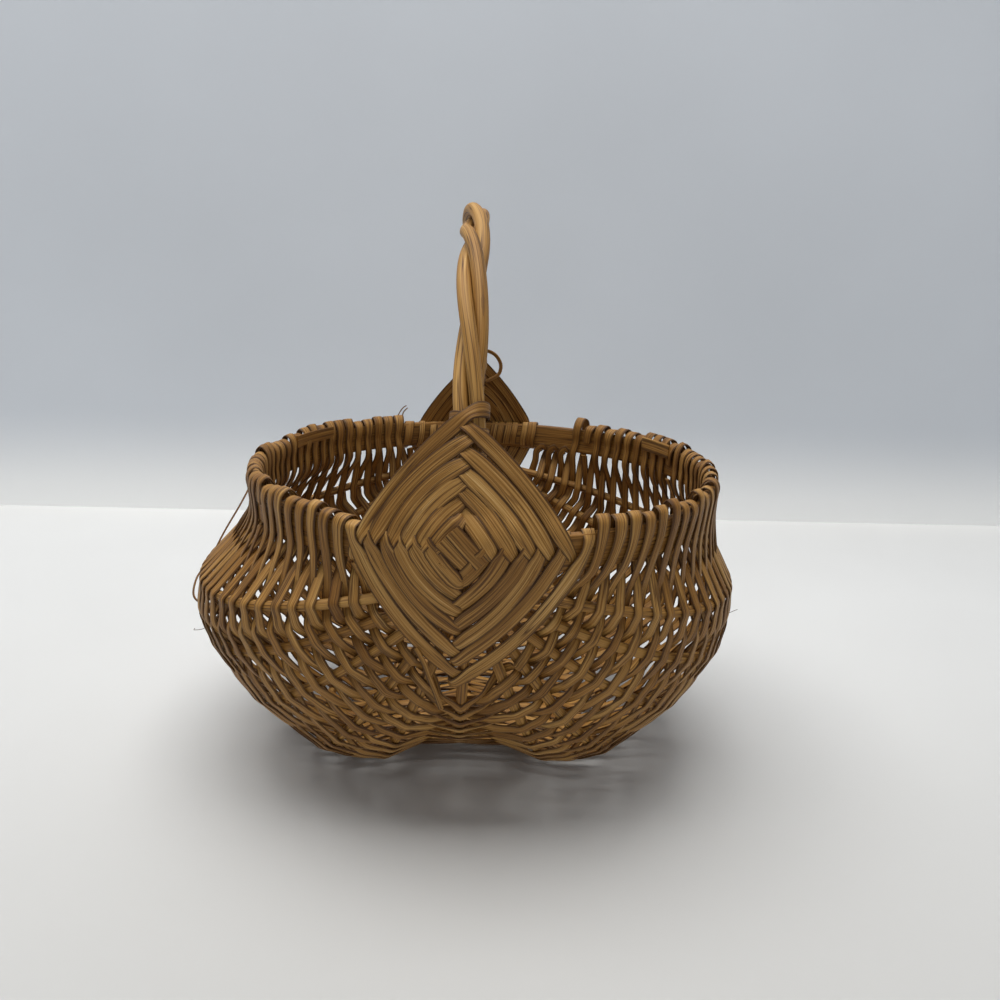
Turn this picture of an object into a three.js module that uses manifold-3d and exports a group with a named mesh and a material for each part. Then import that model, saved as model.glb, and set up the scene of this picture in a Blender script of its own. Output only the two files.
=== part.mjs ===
import * as THREE from "three";
import { mergeVertices } from "three/addons/utils/BufferGeometryUtils.js";
import Module from "manifold-3d";

// A small rib basket with two rounded lobes underneath and a twisted handle.
// Millimetres, +Z up. The handle arches from front (-Y) to back (+Y). Everything is made round
// the middle of the rim, and the whole basket is then lifted to stand on Z = 0.

// Rim hoop: one flat splint, bent to a hoop that is slightly longer from front to back
// than it is wide. It sits a little to the right of the belly.
const rimLength = 200;
const rimWidth = 193;
const rimHeight = 12.7;
const rimThickness = 4;
const rimShift = 6;
const rimSegments = 40;

// Ribs of round reed. Each bows from the front lashing to the back one.
// reach is how far out a rib swells, as a share of half the rim's width, and drop how far
// it hangs below the rim, as a share of the belly's depth, both at the rib's middle;
// fan is the direction that its end takes inside the lashing, in degrees below level.
const ribDiameter = 4;
const bellyDepth = 116.8;
const ribShapes = [
  { reach: 1.166, drop: 0.324, fan: 10 },
  { reach: 1.14, drop: 0.546, fan: 27 },
  { reach: 0.974, drop: 0.76, fan: 43 },
  { reach: 0.684, drop: 0.966, fan: 57 },
  { reach: 0.399, drop: 1, fan: 70 },
];
const ribEndSpread = 18;
const ribEndDrop = 13.8;
const ribEndInset = 8.6;
const ribFullness = 0.82;
const bottomRibDrop = 0.9315;
const bottomRibTopDrop = 9.5;
const bottomRibEndInset = 2;
const ribSteps = 22;
const ribSides = 6;

// Handle: three round reeds laid up like a rope, from inside the rim over the top.
const handleStrands = 3;
const handleStrandDiameter = 5.6;
const handleStrandGap = 0.6;
const handleRise = 108.8;
const handleLegBelowRim = 8;
const handleTurns = 2.5;
// The first strand stands this many degrees round from the front, so far along from its foot.
const handlePhase = 40;
const handlePhaseAt = 59;
const handleSteps = 42;
const handleSides = 6;

// Weavers of flat reed: long reeds that pass from rim to rim and back.
const reedThickness = 1;
const reedClearance = 0.6;
const weaverWidth = 3.2;
const weaverTilt = 30;
const wideSpan = 25;
const weavers = 8;
const rowsPerWeaver = 8;
const rimLoopRise = 0.65;
const rimTuck = 0.8;
const weaveMargin = 2.4;
const marginStep = 0.25;
const ribSlopeReach = 3;
const ridgeSlack = 0.45;
const steepestLean = 0.9;

// Lashings: a flat reed wound round the crossing of rim, handle and bottom rib.
// up, side and down are how far each one reaches along the arms of the crossing.
const lashings = [
  { word: "front", end: -1, up: 49, side: 38, down: 51 },
  { word: "back", end: 1, up: 47, side: 36, down: 48 },
];
const lashingWidth = 2.8;
const lashingRounds = 4;
const lashingStart = 9.6;
const foldOverrun = 3;
const foldEase = 0.25;
const foldLean = 0.3;

// The lowest weavers are worn flat, so deep, where the basket stands.
const wornDepth = 0.7;

const rimRadius = rimLength / 2;
const rimHalfWidth = rimWidth / 2;
const ribRadius = ribDiameter / 2;
const weaveOffset = ribRadius + reedClearance + reedThickness / 2;
const rimOffset = rimThickness / 2 + reedClearance + reedThickness / 2;
const rimEdge = rimHeight / 2;
const strandOrbit = (handleStrandDiameter + handleStrandGap) / Math.sqrt(3);
const bundleRadius = strandOrbit + handleStrandDiameter / 2;
const handleReach = rimRadius - rimThickness / 2 - reedClearance - bundleRadius;
const rows = weavers * rowsPerWeaver;
const elements = 2 * ribShapes.length + 2;

const wasm = await Module();
wasm.setup();

const reedColor = 0xa9804c;
const rimColor = 0x8c6235;
const handleColor = 0xa67b48;
const lashingColor = 0xa47a45;

function material(color) {
  return new THREE.MeshStandardMaterial({ color, roughness: 0.62, metalness: 0 });
}

function named(name, geometry, color) {
  const mesh = new THREE.Mesh(geometry, material(color));
  mesh.name = name;
  return mesh;
}

function vector(x, y, z) {
  return new THREE.Vector3(x, y, z);
}

// A closed solid through rings of corners, with flat ends, and its faces pointing out.
function sweptSolid(rings) {
  const sides = rings[0].length;
  const last = (rings.length - 1) * sides;
  const faces = [];
  for (let ring = 0; ring < last; ring += sides) {
    for (let side = 0; side < sides; side++) {
      const here = ring + side;
      const next = ring + ((side + 1) % sides);
      faces.push([here, next, next + sides], [here, next + sides, here + sides]);
    }
  }
  for (let side = 1; side < sides - 1; side++) {
    faces.push([0, side + 1, side], [last, last + side, last + side + 1]);
  }
  const corners = rings.flat();
  const volume = faces.reduce((sum, [a, b, c]) => {
    return sum + corners[a].dot(corners[b].clone().cross(corners[c]));
  }, 0);
  if (volume < 0) faces.forEach((face) => face.reverse());
  const geometry = new THREE.BufferGeometry();
  geometry.setFromPoints(corners);
  geometry.setIndex(faces.flat());
  geometry.computeVertexNormals();
  return geometry;
}

function tangents(points) {
  return points.map((point, i) => {
    const before = points[Math.max(i - 1, 0)];
    const after = points[Math.min(i + 1, points.length - 1)];
    return after.clone().sub(before).normalize();
  });
}

// Rings of a round rod, carried along the points without twisting.
function rodRings(points, radius, sides) {
  const along = tangents(points);
  let across = vector(along[0].y, along[0].z, along[0].x).cross(along[0]).normalize();
  return points.map((point, i) => {
    across = across.clone().addScaledVector(along[i], -across.dot(along[i])).normalize();
    const other = along[i].clone().cross(across);
    return Array.from({ length: sides }, (_, side) => {
      const angle = (2 * Math.PI * side) / sides;
      return point
        .clone()
        .addScaledVector(across, radius * Math.cos(angle))
        .addScaledVector(other, radius * Math.sin(angle));
    });
  });
}

// Rings of a flat reed. A station holds its point, the way its face looks, and any tilt.
function reedRings(stations, width) {
  const along = tangents(stations.map((station) => station.point));
  return stations.map(({ point, face, tilt = 0 }, i) => {
    const normal = face.clone().addScaledVector(along[i], -face.dot(along[i])).normalize();
    normal.applyAxisAngle(along[i], tilt);
    const across = along[i].clone().cross(normal);
    return [
      [1, 1],
      [-1, 1],
      [-1, -1],
      [1, -1],
    ].map(([side, top]) => {
      return point
        .clone()
        .addScaledVector(across, (side * width) / 2)
        .addScaledVector(normal, (top * reedThickness) / 2);
    });
  });
}

// Point on the hoop's centre line at a given x, at the front or the back.
function rimPointAtX(x, end) {
  const share = (x - rimShift) / rimHalfWidth;
  return vector(x, end * rimRadius * Math.sqrt(1 - share ** 2), 0);
}

function rimOutward(point) {
  return vector((point.x - rimShift) / rimHalfWidth ** 2, point.y / rimRadius ** 2, 0).normalize();
}

// A rib's centre line, bowed from its end inside the front lashing to the back one.
class RibLine extends THREE.Curve {
  constructor(startX, startDrop, reach, drop, endReach) {
    super();
    Object.assign(this, { startX, startDrop, reach, drop, endReach });
  }
  getPoint(share, target = new THREE.Vector3()) {
    const angle = Math.PI * share;
    const swell = Math.max(Math.sin(angle), 0) ** ribFullness;
    return target.set(
      this.startX + (this.reach - this.startX) * swell,
      -this.endReach * Math.cos(angle),
      -this.startDrop - (this.drop - this.startDrop) * swell,
    );
  }
}

function sideRibLine(side, { reach, drop, fan }) {
  const angle = THREE.MathUtils.degToRad(fan);
  const startX = side * ribEndSpread * Math.cos(angle);
  const startDrop = ribEndDrop + ribEndSpread * Math.sin(angle);
  const swell = side * reach * rimHalfWidth;
  return new RibLine(startX, startDrop, swell, drop * bellyDepth, rimRadius - ribEndInset);
}

const bottomRibLine = new RibLine(
  0,
  bottomRibTopDrop,
  0,
  bottomRibDrop * bellyDepth,
  rimRadius - bottomRibEndInset,
);

function rimLine(side) {
  const points = [];
  for (let i = 0; i <= rimSegments; i++) {
    const angle = -Math.PI / 2 + (side * Math.PI * i) / rimSegments;
    points.push(
      vector(
        rimShift + rimHalfWidth * Math.cos(angle),
        rimRadius * Math.sin(angle),
        -rimEdge - rimTuck,
      ),
    );
  }
  return points;
}

// Everything a row crosses, from the left rim through the ribs to the right rim.
const crossed = [
  rimLine(-1),
  ...ribShapes.map((rib) => sideRibLine(-1, rib).getSpacedPoints(ribSteps)),
  bottomRibLine.getSpacedPoints(ribSteps),
  ...ribShapes.toReversed().map((rib) => sideRibLine(1, rib).getSpacedPoints(ribSteps)),
  rimLine(1),
].map((points, element) => wovenStretch(points, element));

// The stretch of a line that lies outside both lashings, with distances along it.
function wovenStretch(points, element) {
  const distances = [0];
  for (let i = 1; i < points.length; i++) {
    distances.push(distances[i - 1] + points[i].distanceTo(points[i - 1]));
  }
  const whole = distances.at(-1);
  const onRim = element === 0 || element === elements;
  const line = { points, distances };
  const hidden = (distance) => beyondLashing(pointAlong(line, distance), onRim) < weaveMargin;
  let start = 0;
  while (start < whole / 2 && hidden(start)) start += marginStep;
  let end = whole;
  while (end > whole / 2 && hidden(end)) end -= marginStep;
  return { ...line, start, end };
}

// How far a point lies outside the lashing's lower edges, or on the rim past its side tip.
function beyondLashing(point, onRim) {
  const { side, down } = lashings[point.y < 0 ? 0 : 1];
  const sideways = Math.abs(point.x) - side;
  if (onRim) return sideways;
  const tipHeight = rimEdge + foldOverrun;
  const tipWidth = ribRadius + foldOverrun;
  const run = side - tipWidth;
  const fall = down - tipHeight;
  const level = -point.z - tipHeight;
  return (sideways * fall + level * run) / Math.hypot(run, fall);
}

function pointAlong({ points, distances }, distance) {
  const clamped = THREE.MathUtils.clamp(distance, 0, distances.at(-1));
  let i = 1;
  while (i < points.length - 1 && distances[i] < clamped) i++;
  const share = (clamped - distances[i - 1]) / (distances[i] - distances[i - 1]);
  return points[i - 1].clone().lerp(points[i], share);
}

function crossing(element, share) {
  const line = crossed[element];
  const distance = THREE.MathUtils.lerp(line.start, line.end, share);
  const ahead = pointAlong(line, distance + ribSlopeReach);
  const along = ahead.sub(pointAlong(line, distance - ribSlopeReach));
  return { point: pointAlong(line, distance), along: along.normalize() };
}

// The points and outward faces where a row meets each rib and passes between them.
function rowFrame(share) {
  const met = crossed.map((_, element) => crossing(element, share));
  const outward = met.map(({ point, along }, element) => {
    if (element === 0 || element === elements) return rimOutward(point);
    const across = met[element + 1].point.clone().sub(met[element - 1].point);
    return along.clone().cross(across).normalize();
  });
  outward.forEach((normal, element) => {
    if (normal.dot(met[element].point) < 0) normal.negate();
  });
  return { met: met.map(({ point }) => point), outward };
}

// The point midway between two ribs on a smooth curve that also meets the ribs beside them.
function pointBetween(met, element) {
  const [a, b] = [met[element], met[element + 1]];
  const before = met[element - 1] ?? a.clone().multiplyScalar(2).sub(b);
  const after = met[element + 2] ?? b.clone().multiplyScalar(2).sub(a);
  const middle = a.clone().lerp(b, 0.5);
  const beyond = before.clone().lerp(after, 0.5);
  return middle.lerp(beyond, -1 / 8);
}

// How far off the middle surface a reed rides so that, straight to the next gap, it clears a rib.
function ridgeHeight(met, element) {
  const spans = [met[element - 1], met[element + 1]]
    .filter((neighbour) => neighbour)
    .map((neighbour) => neighbour.distanceTo(met[element]) / 2);
  const half = Math.min(...spans);
  const cleared = weaveOffset + ridgeSlack;
  return cleared / Math.sqrt(1 - Math.min(cleared / half, steepestLean) ** 2);
}

function rowShare(row) {
  return (row + 0.5) / rows;
}

// One pass of a weaver from rim to rim: over one rib, under the next, edge up between them.
function rowStations(row) {
  const { met, outward } = rowFrame(rowShare(row));
  const turn = row % 2 === 0 ? 1 : -1;
  const stations = [];
  for (let element = 0; element <= elements; element++) {
    const side = element % 2 === 0 ? turn : -turn;
    const onRim = element === 0 || element === elements;
    const height = onRim ? rimOffset : ridgeHeight(met, element);
    stations.push({
      point: met[element].clone().addScaledVector(outward[element], side * height),
      face: outward[element].clone().multiplyScalar(turn),
    });
    if (element === elements) break;
    const face = outward[element].clone().add(outward[element + 1]).normalize();
    const span = met[element].distanceTo(met[element + 1]);
    stations.push({
      point: pointBetween(met, element),
      face: face.multiplyScalar(turn),
      tilt: THREE.MathUtils.degToRad(weaverTilt) * Math.min(span / wideSpan, 1),
    });
  }
  return turn > 0 ? stations : stations.reverse();
}

// The reed's way over the rim between two rows, from outside to inside or back.
function rimLoopStations(row) {
  const element = row % 2 === 0 ? elements : 0;
  const outsideFirst = row % 2 === 0;
  const top = rimEdge + reedClearance + reedThickness / 2 + rimLoopRise;
  const shape = [
    [rimOffset, rimEdge, 1, 0],
    [rimThickness / 2, top, 1, 1],
    [-rimThickness / 2, top, -1, 1],
    [-rimOffset, rimEdge, -1, 0],
  ];
  const ordered = outsideFirst ? shape : shape.toReversed();
  return ordered.map(([out, height, faceOut, faceUp], i) => {
    const share = rowShare(row + i / (shape.length - 1));
    const base = crossing(element, share).point;
    const outward = rimOutward(base);
    base.z = height;
    const face = outward.clone().multiplyScalar(faceOut);
    face.z = faceUp;
    return { point: base.addScaledVector(outward, out), face: face.normalize() };
  });
}

// The last bit of a reed, laid down the rim's face past its end station.
function tail(station, height) {
  const point = station.point.clone();
  point.z = height;
  return { point, face: station.face };
}

function weaverStations(weaver) {
  const first = weaver * rowsPerWeaver;
  const stations = [];
  for (let row = first; row < first + rowsPerWeaver; row++) {
    stations.push(...rowStations(row));
    if (row < rows - 1) stations.push(...rimLoopStations(row));
  }
  const tailEnd = rimEdge / 3;
  stations.unshift(tail(stations[0], weaver > 0 ? 0 : rimEdge));
  if (weaver < weavers - 1) stations.push(tail(stations.at(-1), tailEnd));
  else stations.push(tail(stations.at(-1), rimEdge));
  return stations;
}

function asSolid(geometry) {
  const bare = geometry.clone();
  bare.deleteAttribute("normal");
  bare.deleteAttribute("uv");
  const merged = mergeVertices(bare, 1e-4);
  return new wasm.Manifold(
    new wasm.Mesh({
      numProp: 3,
      vertProperties: new Float32Array(merged.attributes.position.array),
      triVerts: new Uint32Array(merged.index.array),
    }),
  );
}

// Cuts away what lies below the surface that the basket stands on.
function wornFlat(geometry, floor) {
  if (geometry.boundingBox.min.z >= floor) return geometry;
  const depth = bellyDepth;
  const slab = new THREE.BoxGeometry(2 * rimLength, 2 * rimLength, depth);
  slab.translate(0, 0, floor - depth / 2);
  const mesh = asSolid(geometry).subtract(asSolid(slab)).getMesh();
  const cut = new THREE.BufferGeometry();
  cut.setAttribute("position", new THREE.BufferAttribute(mesh.vertProperties, 3));
  cut.setIndex(new THREE.BufferAttribute(mesh.triVerts, 1));
  cut.computeVertexNormals();
  return cut;
}

// The handle's centre line: up inside the rim, over in half an ellipse, and down again.
class ArchLine extends THREE.Curve {
  getPoint(share, target = new THREE.Vector3()) {
    const angle = Math.PI * share;
    return target.set(
      0,
      -handleReach * Math.cos(angle),
      handleRise * Math.sin(angle),
    );
  }
}

function handleLine() {
  const foot = (end) => vector(0, end * handleReach, -handleLegBelowRim);
  const shoulder = (end) => vector(0, end * handleReach, 0);
  const line = new THREE.CurvePath();
  line.add(new THREE.LineCurve3(foot(-1), shoulder(-1)));
  line.add(new ArchLine());
  line.add(new THREE.LineCurve3(shoulder(1), foot(1)));
  return line;
}

function handleStrandGeometry(strand) {
  const line = handleLine();
  const sideways = vector(1, 0, 0);
  const phase = THREE.MathUtils.degToRad(handlePhase) + (2 * Math.PI * strand) / handleStrands;
  const phaseShare = handlePhaseAt / line.getLength();
  const points = [];
  for (let i = 0; i <= handleSteps; i++) {
    const share = i / handleSteps;
    const outward = sideways.clone().cross(line.getTangentAt(share)).normalize();
    const angle = phase - 2 * Math.PI * handleTurns * (share - phaseShare);
    points.push(
      line
        .getPointAt(share)
        .addScaledVector(outward, strandOrbit * Math.cos(angle))
        .addScaledVector(sideways, strandOrbit * Math.sin(angle)),
    );
  }
  return sweptSolid(rodRings(points, handleStrandDiameter / 2, handleSides));
}

// The way round one arm of the crossing, as [across, out, face across, face out].
// It passes over the front, round the back and over the front again a half pitch further on.
function wayRoundFlatArm(halfWidth, halfDepth) {
  const out = halfDepth + reedClearance + reedThickness / 2;
  const edge = halfWidth + reedClearance + reedThickness / 2 + foldEase;
  return [
    [-halfWidth - foldOverrun, out, 0, 1],
    [halfWidth, out, foldLean, 1],
    [edge, halfDepth, 1, foldLean],
    [edge, -halfDepth, 1, -foldLean],
    [halfWidth, -out, foldLean, -1],
    [-halfWidth, -out, -foldLean, -1],
    [-edge, -halfDepth, -1, -foldLean],
    [-edge, halfDepth, -1, foldLean],
    [-halfWidth, out, -foldLean, 1],
    [halfWidth + foldOverrun, out, 0, 1],
  ];
}

function wayRoundRoundArm(radius, steps) {
  const turn = (2 * Math.PI) / steps;
  const orbit = (radius + reedClearance + reedThickness / 2) / Math.cos(turn / 2);
  const way = [[-radius - foldOverrun, orbit, 0, 1]];
  for (let i = 0; i <= steps; i++) {
    const angle = i * turn;
    way.push([
      orbit * Math.sin(angle),
      orbit * Math.cos(angle),
      Math.sin(angle),
      Math.cos(angle),
    ]);
  }
  way.push([radius + foldOverrun, orbit, 0, 1]);
  return way;
}

// The four arms of a crossing, in the order that the reed comes to them: anticlockwise,
// as seen from outside. at() gives a place on the arm's centre line, and across the way
// that the reed passes over the arm.
function lashingArms({ end, up, side, down }) {
  const handle = handleLine();
  const handlePlace = (distance) => {
    const angle = Math.asin(distance / handleRise);
    const tangent = vector(
      0,
      -end * handleReach * Math.sin(angle),
      handleRise * Math.cos(angle),
    ).normalize();
    return {
      point: vector(0, end * handleReach * Math.cos(angle), distance),
      outward: vector(0, end * tangent.z, -end * tangent.y),
    };
  };
  const rimPlace = (side) => (distance) => {
    const point = rimPointAtX(side * distance, end);
    return { point, outward: rimOutward(point) };
  };
  const ribPoint = (distance) => {
    const { startDrop, drop, endReach } = bottomRibLine;
    const swell = (distance - startDrop) / (drop - startDrop);
    const angle = Math.asin(Math.max(swell, 0) ** (1 / ribFullness));
    return vector(0, end * endReach * Math.cos(angle), -distance);
  };
  const ribPlace = (distance) => {
    const lean = ribPoint(distance - 1).sub(ribPoint(distance + 1)).normalize();
    return { point: ribPoint(distance), outward: vector(0, end * lean.z, -end * lean.y) };
  };
  const leftward = vector(end, 0, 0);
  const upward = vector(0, 0, 1);
  const roundHandle = wayRoundRoundArm(bundleRadius, 8);
  const roundRib = wayRoundRoundArm(ribRadius, 6);
  const roundRim = wayRoundFlatArm(rimEdge, rimThickness / 2);
  return [
    { at: handlePlace, across: leftward, reach: up, way: roundHandle },
    { at: rimPlace(end), across: upward.clone().negate(), reach: side, way: roundRim },
    { at: ribPlace, across: leftward.clone().negate(), reach: down, way: roundRib },
    { at: rimPlace(-end), across: upward, reach: side, way: roundRim },
  ];
}

// Each pass over an arm takes the reed half a pitch outward, and each quarter the rest of it.
function lashingStations(lashing) {
  const arms = lashingArms(lashing);
  const loops = lashingRounds * arms.length;
  const stations = [];
  for (let loop = 0; loop < loops; loop++) {
    const { at, across, reach, way } = arms[loop % arms.length];
    const lastPlace = reach - lashingWidth / 2;
    const pitch = (lastPlace - lashingStart) / (lashingRounds - 1 / arms.length);
    const begin = lashingStart + ((lastPlace - pitch / 2 - lashingStart) * loop) / (loops - 1);
    way.forEach(([sideways, out, faceAcross, faceOut], i) => {
      const { point, outward } = at(begin + ((pitch / 2) * i) / (way.length - 1));
      point.addScaledVector(across, sideways).addScaledVector(outward, out);
      const face = outward.clone().multiplyScalar(faceOut);
      face.addScaledVector(across, faceAcross);
      stations.push({ point, face: face.normalize() });
    });
  }
  return stations;
}

// Least distance between stretches of a reed that aren't neighbours along it.
function leastGap(rings, skip) {
  const between = 4;
  const spots = [];
  for (let i = 0; i < rings.length - 1; i++) {
    for (let part = 0; part < between; part++) {
      const ring = rings[i].map((corner, c) => corner.clone().lerp(rings[i + 1][c], part / between));
      ring.forEach((corner, c) => {
        const next = ring[(c + 1) % ring.length];
        spots.push({ i, spot: corner }, { i, spot: corner.clone().lerp(next, 0.5) });
      });
    }
  }
  let least = Infinity;
  for (let a = 0; a < spots.length; a++) {
    for (let b = a + 1; b < spots.length; b++) {
      if (spots[b].i - spots[a].i <= skip) continue;
      least = Math.min(least, spots[a].spot.distanceToSquared(spots[b].spot));
    }
  }
  return Math.sqrt(least);
}

const basket = new THREE.Group();

const rimWall = rimThickness / 2;
const ringShape = new THREE.Shape();
ringShape.absellipse(0, 0, rimHalfWidth + rimWall, rimRadius + rimWall, 0, 2 * Math.PI);
const ringHole = new THREE.Path();
ringHole.absellipse(0, 0, rimHalfWidth - rimWall, rimRadius - rimWall, 0, 2 * Math.PI);
ringShape.holes.push(ringHole);
const ring = new THREE.ExtrudeGeometry(ringShape, {
  depth: rimHeight,
  bevelEnabled: false,
  curveSegments: rimSegments,
});
const rim = named("rim_hoop", ring, rimColor);
rim.position.set(rimShift, 0, -rimEdge);
basket.add(rim);

for (let strand = 0; strand < handleStrands; strand++) {
  const name = "handle_strand_" + (strand + 1);
  basket.add(named(name, handleStrandGeometry(strand), handleColor));
}

for (const [word, side] of [
  ["left", -1],
  ["right", 1],
]) {
  ribShapes.forEach((rib, i) => {
    const points = sideRibLine(side, rib).getSpacedPoints(ribSteps);
    const geometry = sweptSolid(rodRings(points, ribRadius, ribSides));
    basket.add(named("rib_" + word + "_" + (i + 1), geometry, reedColor));
  });
}
const bottomPoints = bottomRibLine.getSpacedPoints(ribSteps);
basket.add(named("rib_bottom", sweptSolid(rodRings(bottomPoints, ribRadius, ribSides)), reedColor));

const nearAlong = 4;
for (const lashing of lashings) {
  const rings = reedRings(lashingStations(lashing), lashingWidth);
  const gap = leastGap(rings, nearAlong).toFixed(2);
  console.log(lashing.word + " lashing: least gap to itself " + gap + " mm");
  basket.add(named("lashing_" + lashing.word, sweptSolid(rings), lashingColor));
}

const woven = [];
for (let weaver = 0; weaver < weavers; weaver++) {
  const geometry = sweptSolid(reedRings(weaverStations(weaver), weaverWidth));
  geometry.computeBoundingBox();
  woven.push(geometry);
}
const floor = Math.min(...woven.map((geometry) => geometry.boundingBox.min.z)) + wornDepth;
woven.forEach((geometry, i) => {
  basket.add(named("weaver_" + (i + 1), wornFlat(geometry, floor), reedColor));
});
basket.position.z = -floor;

export default basket;
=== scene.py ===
import random
from math import acos, asin, cos, degrees, hypot, pi, radians, sin, sqrt

import bpy
import numpy as np
from mathutils import Matrix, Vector
from numpy.linalg import norm


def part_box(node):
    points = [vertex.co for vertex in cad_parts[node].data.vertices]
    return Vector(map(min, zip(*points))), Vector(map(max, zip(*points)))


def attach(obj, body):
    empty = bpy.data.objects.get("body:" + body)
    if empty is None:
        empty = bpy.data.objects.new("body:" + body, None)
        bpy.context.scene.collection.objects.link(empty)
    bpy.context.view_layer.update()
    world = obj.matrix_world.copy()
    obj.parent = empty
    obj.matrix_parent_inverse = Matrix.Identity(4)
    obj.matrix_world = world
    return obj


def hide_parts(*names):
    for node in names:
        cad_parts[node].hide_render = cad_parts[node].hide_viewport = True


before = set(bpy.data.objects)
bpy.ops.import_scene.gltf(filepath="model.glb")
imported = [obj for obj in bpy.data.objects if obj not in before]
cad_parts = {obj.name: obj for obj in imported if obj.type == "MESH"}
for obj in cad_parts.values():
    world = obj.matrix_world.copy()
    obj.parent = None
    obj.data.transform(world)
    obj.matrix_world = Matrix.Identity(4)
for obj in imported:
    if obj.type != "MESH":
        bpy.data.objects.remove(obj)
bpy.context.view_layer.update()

mm = 0.001  # lengths below are in millimetres, and meshes are in metres
chance = random.Random(26)


def point(x, y, z):
    return np.array((x, y, z), float)


def columns(*values):
    return np.stack(np.broadcast_arrays(*values), axis=1)


def unit(vectors):
    lengths = norm(vectors, axis=-1, keepdims=True)
    return vectors / np.maximum(lengths, 1e-9)


def eased(share):
    share = np.clip(share, 0, 1)
    return share * share * (3 - 2 * share)


# Samples a smooth curve through the stations, every step or so, with values carried along.
def smoothPath(places, carried, step):
    places = np.asarray(places, float)
    carried = np.asarray(carried, float)
    gaps = np.maximum(norm(np.diff(places, axis=0), axis=1), 1e-6)
    both = np.hstack([places, carried])
    slopes = np.diff(both, axis=0) / gaps[:, None]
    before, after = gaps[:-1, None], gaps[1:, None]
    inner = (after * slopes[:-1] + before * slopes[1:]) / (before + after)
    speeds = np.vstack([slopes[:1], inner, slopes[-1:]])
    counts = np.maximum(np.ceil(gaps / step).astype(int), 1)
    segment = np.repeat(np.arange(len(gaps)), counts)
    share = np.concatenate([np.arange(count) / count for count in counts])[:, None]
    start, end = both[segment], both[segment + 1]
    pull = speeds[segment] * gaps[segment, None]
    push = speeds[segment + 1] * gaps[segment, None]
    curve = (
        (2 * share**3 - 3 * share**2 + 1) * start
        + (share**3 - 2 * share**2 + share) * pull
        + (3 * share**2 - 2 * share**3) * end
        + (share**3 - share**2) * push
    )
    curve = np.vstack([curve, both[-1:]])
    return curve[:, :3], curve[:, 3:]


def distancesAlong(places):
    return np.concatenate([[0], np.cumsum(norm(np.diff(places, axis=0), axis=1))])


def placesAt(places, distances, spots):
    return np.stack([np.interp(spots, distances, places[:, i]) for i in range(3)], axis=-1)


def evenly(places, count):
    distances = distancesAlong(places)
    return placesAt(places, distances, np.linspace(0, distances[-1], count))


def tangentsOf(places):
    return unit(np.gradient(places, axis=0))


# Corner offsets of a flat reed's section, as shares of half its width and thickness.
def flatSection(corners, squareness, groove=0.0):
    angles = np.arange(corners) * 2 * pi / corners
    across = np.sign(np.cos(angles)) * np.abs(np.cos(angles)) ** (2 / squareness)
    upward = np.sign(np.sin(angles)) * np.abs(np.sin(angles)) ** (2 / squareness)
    upward = upward * (1 - groove * (np.arange(corners) % 2))
    return columns(across, upward)


def roundSection(corners):
    angles = np.arange(corners) * 2 * pi / corners
    return columns(np.cos(angles), np.sin(angles))


# Rings of corners round a path. halfSizes has half the width and thickness at each ring.
def ringsAlong(places, faces, section, halfSizes):
    along = tangentsOf(places)
    normals = unit(faces - np.sum(faces * along, axis=1, keepdims=True) * along)
    across = np.cross(along, normals)
    return (
        places[:, None, :]
        + across[:, None, :] * section[None, :, :1] * halfSizes[:, None, :1]
        + normals[:, None, :] * section[None, :, 1:] * halfSizes[:, None, 1:]
    )


# Slow random change along a strand, between -1 and 1.
def wander(distances, spacing, seed):
    source = random.Random(seed)
    count = int(distances[-1] / spacing) + 3
    knots = np.array([source.uniform(-1, 1) for _ in range(count)])
    spots = distances / spacing
    left = np.floor(spots).astype(int)
    ease = eased(spots - left)
    return knots[left] * (1 - ease) + knots[left + 1] * ease


# A grid rolled up round the rings: its long edges meet and are merged, and its ends are filled.
# The UV map runs along the strand and round it, in metres; girth is the way round.
def strandMesh(rings, seamShift=0.0, girth=None):
    ringCount, sideCount = rings.shape[:2]
    bpy.ops.object.select_all(action="DESELECT")
    bpy.ops.mesh.primitive_grid_add(x_subdivisions=ringCount - 1, y_subdivisions=sideCount, size=1)
    piece = bpy.context.object
    mesh = piece.data
    spots = np.empty(len(mesh.vertices) * 3, np.float32)
    mesh.vertices.foreach_get("co", spots)
    spots = spots.reshape(-1, 3)
    column = np.rint((spots[:, 0] + 0.5) * (ringCount - 1)).astype(int)
    row = np.rint((spots[:, 1] + 0.5) * sideCount).astype(int)
    spots = rings[column, row % sideCount] * mm
    mesh.vertices.foreach_set("co", spots.astype(np.float32).ravel())
    along = distancesAlong(rings.mean(axis=1)) * mm
    middle = rings[ringCount // 2]
    sides = norm(np.roll(middle, -1, axis=0) - middle, axis=1)
    around = np.concatenate([[0], np.cumsum(sides)])
    around = around * mm * (girth / around[-1] if girth else 1)
    corner = np.empty(len(mesh.loops), np.int32)
    mesh.loops.foreach_get("vertex_index", corner)
    reedMap = columns(along[column[corner]] + seamShift, around[row[corner]])
    layer = mesh.uv_layers.active
    layer.name = "reedMap"
    layer.data.foreach_set("uv", reedMap.astype(np.float32).ravel())
    bpy.ops.object.mode_set(mode="EDIT")
    bpy.ops.mesh.select_mode(type="VERT")
    bpy.ops.mesh.select_all(action="SELECT")
    bpy.ops.mesh.remove_doubles(threshold=1e-6)
    bpy.ops.mesh.select_all(action="DESELECT")
    bpy.ops.mesh.select_non_manifold()
    bpy.ops.mesh.fill_holes(sides=0)
    bpy.ops.mesh.select_all(action="SELECT")
    bpy.ops.mesh.normals_make_consistent(inside=False)
    bpy.ops.object.mode_set(mode="OBJECT")
    bpy.ops.object.shade_smooth_by_angle(angle=radians(50))
    return piece


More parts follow.
